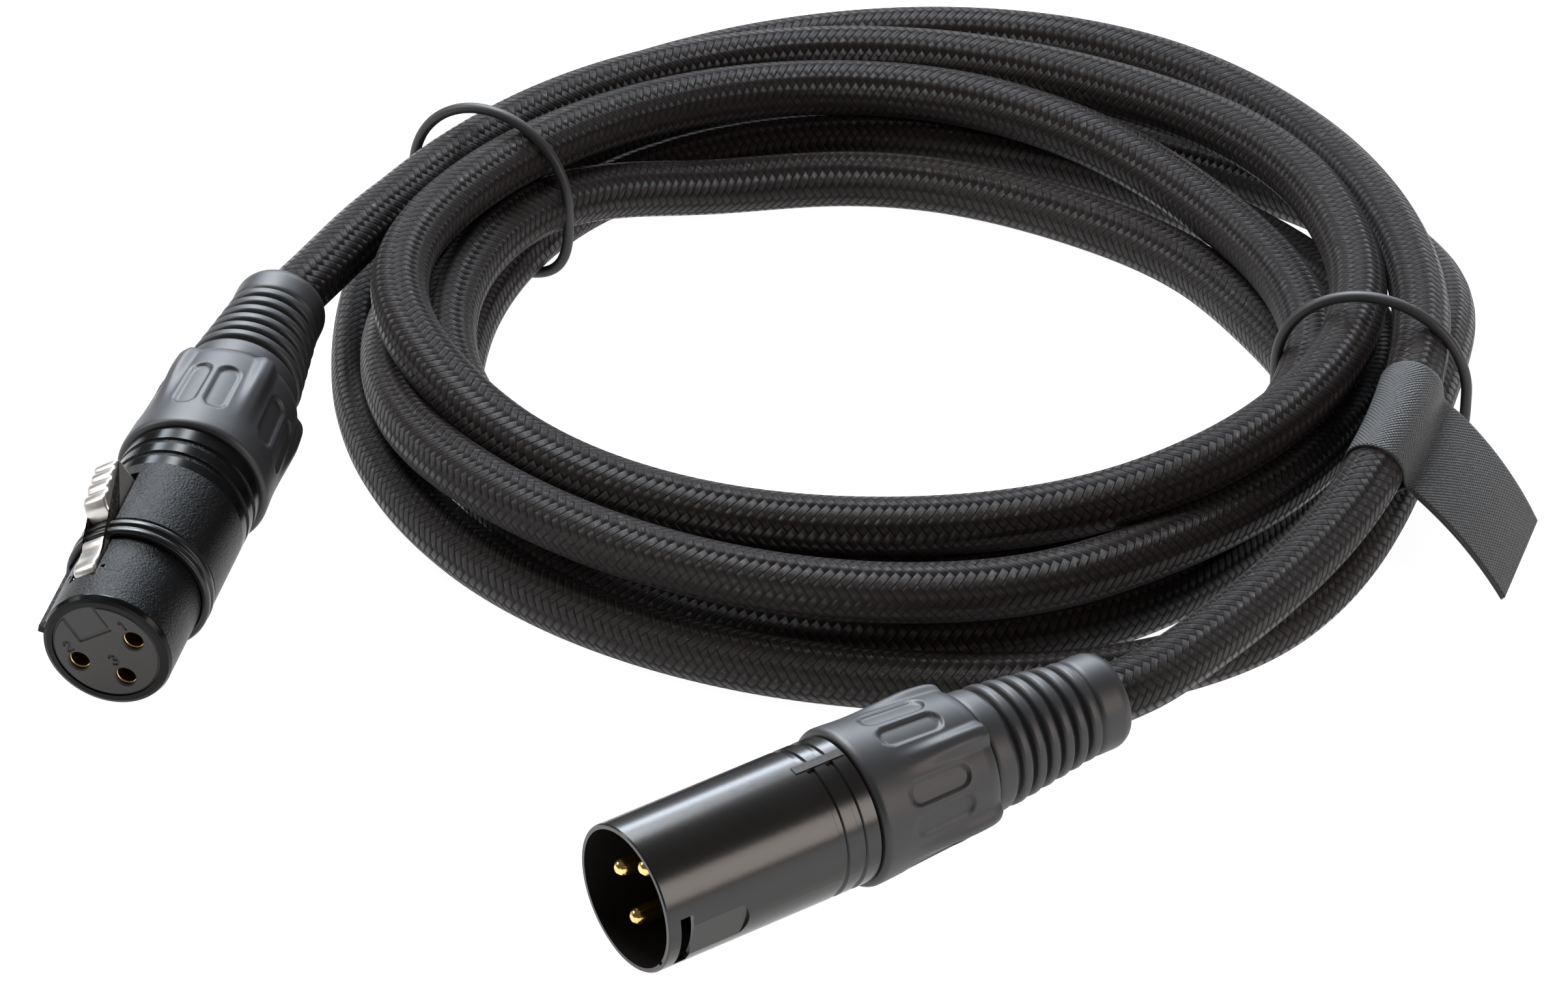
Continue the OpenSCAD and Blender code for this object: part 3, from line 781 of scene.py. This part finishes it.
# The female insert's face. Its key points along the connector's own +X.
HOLE_R = 1.35
FACE_R = 7.1
HOLES = {"1": (0, -PIN_RING_R), "2": (0, PIN_RING_R), "3": (-PIN_RING_R, 0)}
# Each contact's numeral: its middle, and its stroke as seen with the key up.
NUMERALS = {
    "1": ((2.7, -4.7), [(-0.35, 0.4), (0, 0.7), (0, -0.7)]),
    "2": ((2.6, 4.3), [
        (-0.4, 0.35), (-0.15, 0.68), (0.25, 0.66), (0.4, 0.35), (0.25, 0), (-0.42, -0.7), (0.42, -0.7),
    ]),
    "3": ((-1.5, -0.2), [
        (-0.38, 0.55), (0, 0.7), (0.36, 0.5), (0.3, 0.15), (0, 0.03), (0.38, -0.15), (0.4, -0.5),
        (0, -0.72), (-0.4, -0.55),
    ]),
}
STROKE = (0.1, 0.22)    # half widths of a numeral's groove, at its floor and its mouth
KEY_BLOCK = (2.75, -2.6, 2.15)      # the key block's inner edge, and its two sides
KEY_GAP = 0.24      # half width of the gap round the key block, and of the line on its open side
KEY_LINE = 0.1
FACE_Z = -0.07      # the face's station, and the depth of what is sunk in it
FACE_DEPTH = 0.21
SNAP = 0.06         # points this near a hole's edge move onto it
FAR = 99.0


def from_line(x, y, line):
    """How far each point is from a line of points."""
    least = np.full(x.shape, FAR)
    for (ax, ay), (bx, by) in zip(line[:-1], line[1:]):
        dx, dy = bx - ax, by - ay
        t = np.clip(((x - ax) * dx + (y - ay) * dy) / (dx * dx + dy * dy), 0, 1)
        least = np.minimum(least, np.hypot(x - ax - t * dx, y - ay - t * dy))
    return least


def insert_face():
    """The moulded plate over the front of the female insert, with open holes over the contacts."""
    r = np.concatenate([np.linspace(0.05, FACE_R - 0.4, 84), np.linspace(FACE_R - 0.34, FACE_R, 6)])
    r, a = np.meshgrid(r, circle(360), indexing="ij")
    x, y = (r * np.cos(a)).ravel(), (r * np.sin(a)).ravel()
    hole = np.full(x.shape, FAR)
    for hx, hy in HOLES.values():
        d = np.hypot(x - hx, y - hy)
        near = np.abs(d - HOLE_R) < SNAP
        x = np.where(near, hx + (x - hx) * HOLE_R / np.maximum(d, 0.1), x)
        y = np.where(near, hy + (y - hy) * HOLE_R / np.maximum(d, 0.1), y)
        hole = np.minimum(hole, np.hypot(x - hx, y - hy))
    groove = 1 - rise(hole, HOLE_R, HOLE_R + 0.2)
    for (cx, cy), line in NUMERALS.values():
        away = from_line(x, y, [(cx + v, cy - u) for u, v in line])
        groove = np.maximum(groove, 1 - rise(away, *STROKE))
    inner, low, high = KEY_BLOCK
    for width, line in (
        (KEY_GAP, [(inner, low), (inner, high), (FACE_R, high)]),
        (KEY_LINE, [(inner, low), (FACE_R, low)]),
    ):
        groove = np.maximum(groove, 1 - rise(from_line(x, y, line), width - 0.04, width + 0.06))
    at_key = (y > low) & (y < high) & (x > inner)
    gap = rise(np.hypot(x, y), FACE_R - 0.28, FACE_R - 0.2)
    groove = np.maximum(groove, np.where(at_key, 0, gap))
    points = np.stack([x, y, FACE_Z - FACE_DEPTH * groove], axis=1)
    faces = grid_faces(*r.shape)
    faces = faces[(hole[faces] > HOLE_R + 0.001).any(axis=1)]
    o = mesh_piece("insert_face", points, faces, FEMALE["place"])
    finish_piece(o, FINISH["insert_plastic"], "cable")


def beside(place, x, y):
    """That place moved sideways by x and y in its own frame."""
    shift = np.eye(4)
    shift[:3, 3] = x, y, 0
    return place @ shift


PIN_ANGLES = {"1": 90, "2": 270, "3": 180}
AXIS_GAP = 0.02     # radius of the hair-thin hole that a turned pin keeps on its axis


def contacts():
    """Round-nosed male pins, and the flared mouths of the female contacts."""
    tip, foot, r = -PIN_TIP, -PIN_FOOT, PIN_R
    pin = [
        [AXIS_GAP, tip], [0.42 * r, tip - 0.04 * r], [0.75 * r, tip - 0.3 * r],
        [0.95 * r, tip - 0.68 * r], [r, tip - 1.1 * r], [r, foot], [AXIS_GAP, foot],
    ]
    inner, outer = HOLE_R - 0.13, HOLE_R - 0.01
    lip = [[inner, -0.75], [outer, -0.65], [outer, -1.5], [inner, -1.5]]
    for number, angle in PIN_ANGLES.items():
        a = math.radians(angle)
        place = beside(MALE["place"], PIN_RING_R * math.cos(a), PIN_RING_R * math.sin(a))
        o = turned("male_contact_" + number, pin, place, 0.12, 1.0, 40)
        finish_piece(o, FINISH["gold_contact"], "cable", ["male_pin_" + number])
        place = beside(FEMALE["place"], *HOLES[number])
        o = turned("female_mouth_" + number, lip, place, 0.05, 0.5, 48)
        finish_piece(o, FINISH["gold_contact"], "cable")


FILL_ANGLES = (20.3, 36)    # where the latch pin's filled hole begins and ends, round the nose
FILL_HALF = 0.8


def latch_pin():
    """The pin across the lever's slot, and the skins that fill its drilled hole flush on both sides."""
    pin_r, station = PIVOT
    ends = np.array([[pin_r, y, -station] for y in (-PIVOT_HALF, 0, PIVOT_HALF)])
    o = tube("latch_pin", ends, PIVOT_R, 16, place=FEMALE["place"])
    finish_piece(o, FINISH["nickel"], "cable", ["female_latch_pin"])
    r, columns = NOSE_R + 0.02, 12
    for side, name in ((1, "left"), (-1, "right")):
        angles = side * np.radians(np.linspace(*FILL_ANGLES, columns))
        points = [
            (r * math.cos(a), r * math.sin(a), z)
            for z in (-station - FILL_HALF, -station + FILL_HALF) for a in angles
        ]
        faces = grid_faces(2, columns, wrap_columns=False)[:, ::side]
        o = mesh_piece("pin_fill_" + name, points, faces, FEMALE["place"])
        finish_piece(o, FINISH["grained_shell"], "cable")


# ---------------------------------------------------------------- the cloth label

LABEL_AXIS = MALE_LEAD[6:9]     # the part of the lead that is inside the label
FLAG_EDGE = np.array([[76.7, -56.4, 1.2], [82.4, -39.4, 2.2]])      # the flag's free corners
CLOTH = 0.35
PINCH = -20.0       # where the two layers meet, below the lead's right side, in degrees
FOLD = 20.0         # how far each layer leaves the cable before they meet, in degrees
FLAG_FACE = (0.65, 0.757)   # the side that the flag bulges to, as parts right and up
BULGE = (2.1, 2.4)  # how far it bulges at its two edges
WRAP_GAP = 0.04     # clearance between the cable and the cloth
MEET = 0.7          # how far outside the wrap the two layers meet
LAYER_GAP = 0.03    # half the gap between the flag's layers
STRIP_STEP = 0.4
LABEL_ROWS = 37     # rows of points along the lead, and points round each row's strip
LABEL_POINTS = 220


def label():
    """A strip folded round the lead; its ends lie on each other as a flag that curves to the ground."""
    across = np.linspace(0, 1, LABEL_ROWS)
    axis = spline([0, 0.5, 1], LABEL_AXIS, across)
    along = np.gradient(axis, axis=0)
    along /= np.linalg.norm(along, axis=1)[:, None]
    right = np.cross(along, [0, 0, 1])
    right /= np.linalg.norm(right, axis=1)[:, None]
    up = np.cross(right, along)
    wrap_r = CABLE_R + WRAP_GAP + CLOTH / 2
    pinch = math.radians(PINCH)
    rows, lengths = [], []
    for t, c, u, v, forward in zip(across, axis, right, up, along):
        meet = c + (wrap_r + MEET) * (math.cos(pinch) * u + math.sin(pinch) * v)
        edge = (1 - t) * FLAG_EDGE[0] + t * FLAG_EDGE[1]
        face = FLAG_FACE[0] * u + FLAG_FACE[1] * v
        bulge = (meet + edge) / 2 + face * ((1 - t) * BULGE[0] + t * BULGE[1])
        s = np.linspace(0, 1, 14)[:, None]
        flag = (1 - s) ** 2 * meet + 2 * s * (1 - s) * bulge + s ** 2 * edge
        lift = face * (CLOTH / 2 + LAYER_GAP) * (0.4 + 0.6 * np.minimum(1, s * 6))
        ring = np.radians(np.linspace(PINCH + FOLD, PINCH + 360 - FOLD, 40))[:, None]
        ring = c + wrap_r * (np.cos(ring) * u + np.sin(ring) * v)
        path = np.concatenate([(flag + lift)[::-1], ring, flag - lift])
        path = even(even(path, STRIP_STEP)[::2], STRIP_STEP)
        length = arc_length(path)
        path = spline(length, path, np.linspace(0, length[-1], LABEL_POINTS))
        normal = np.cross(np.gradient(path, axis=0), forward)
        normal /= np.linalg.norm(normal, axis=1)[:, None]
        rows.append(np.concatenate([path + normal * CLOTH / 2, (path - normal * CLOTH / 2)[::-1]]))
        lengths.append(length[-1])
    points = np.array(rows)
    count = points.shape[1]
    half = count // 2
    length = float(np.mean(lengths))
    width = float(arc_length(axis)[-1])
    faces = grid_faces(len(rows), count).tolist()
    last = (len(rows) - 1) * count
    for k in range(half - 1):
        quad = [k, k + 1, count - 2 - k, count - 1 - k]
        faces += [quad[::-1], [last + q for q in quad]]
    s = np.linspace(0, length, half)
    at = np.concatenate([s, s[::-1]])
    uv = np.stack(np.broadcast_arrays(at[None], across[:, None] * width), axis=-1).reshape(-1, 2)
    o = mesh_piece("label", points.reshape(-1, 3), faces, uv=uv[np.array(faces)])
    finish_piece(o, FINISH["label_cloth"], "cable", ["label_wrap", "label_flag"])


# ---------------------------------------------------------------- floor and light

FLOOR_HALF = 6.0    # in metres
WORLD_LIGHT = 0.1
# Each lamp's place, size, watts and colour, in metres.
LAMPS = {
    "top_back": ((-0.3, 0.5, 0.9), (0.7, 0.4), 22, (0.92, 0.96, 1.0)),
    "low_back": ((0.0, 1.3, 0.8), (1.5, 0.3), 22, (0.8, 0.89, 1.0)),
    "left": ((-0.9, 0.1, 0.5), (0.3, 0.3), 4, (1.0, 0.98, 0.96)),
    "right": ((0.95, -0.55, 0.42), (0.6, 0.6), 6, (1.0, 0.9, 0.84)),
}


def floor():
    """A pale ground that glows a little, so that it stays white under the cable."""
    g = Graph("floor")
    slow = g.noise(g.here(), 3.0)
    material = g.set(
        Base_Color=g.ramp(slow, [(0.3, grey(0.26)), (0.7, grey(0.28))]),
        Roughness=0.9,
        Specular_IOR_Level=0.1,
        Emission_Color=(1, 1, 1, 1),
        Emission_Strength=0.97,
    )
    corners = [(-1, -1), (1, -1), (1, 1), (-1, 1)]
    mesh = bpy.data.meshes.new("floor")
    mesh.from_pydata([(x * FLOOR_HALF, y * FLOOR_HALF, 0) for x, y in corners], [], [(0, 1, 2, 3)])
    o = bpy.data.objects.new("floor", mesh)
    o.data.materials.append(material)
    bpy.context.scene.collection.objects.link(o)


def softbox(name, at, size, watts, colour):
    """A rectangular lamp that points at the middle of the object."""
    lamp = bpy.data.lights.new(name, "AREA")
    lamp.shape, lamp.size, lamp.size_y = "RECTANGLE", size[0], size[1]
    lamp.energy, lamp.color = watts, colour
    o = bpy.data.objects.new(name, lamp)
    o.location = at
    o.rotation_euler = (-Vector(at)).to_track_quat("-Z", "Y").to_euler()
    bpy.context.scene.collection.objects.link(o)


gasket_ring()
latch_lever()
insert_face()
contacts()
latch_pin()
label()
floor()
for lamp_name, lamp_values in LAMPS.items():
    softbox(lamp_name, *lamp_values)
world = bpy.data.worlds.new("world")
world.use_nodes = True
background = world.node_tree.nodes["Background"]
background.inputs["Color"].default_value = (1, 1, 1, 1)
background.inputs["Strength"].default_value = WORLD_LIGHT
bpy.context.scene.world = world
bpy.context.scene.view_settings.view_transform = "Standard"
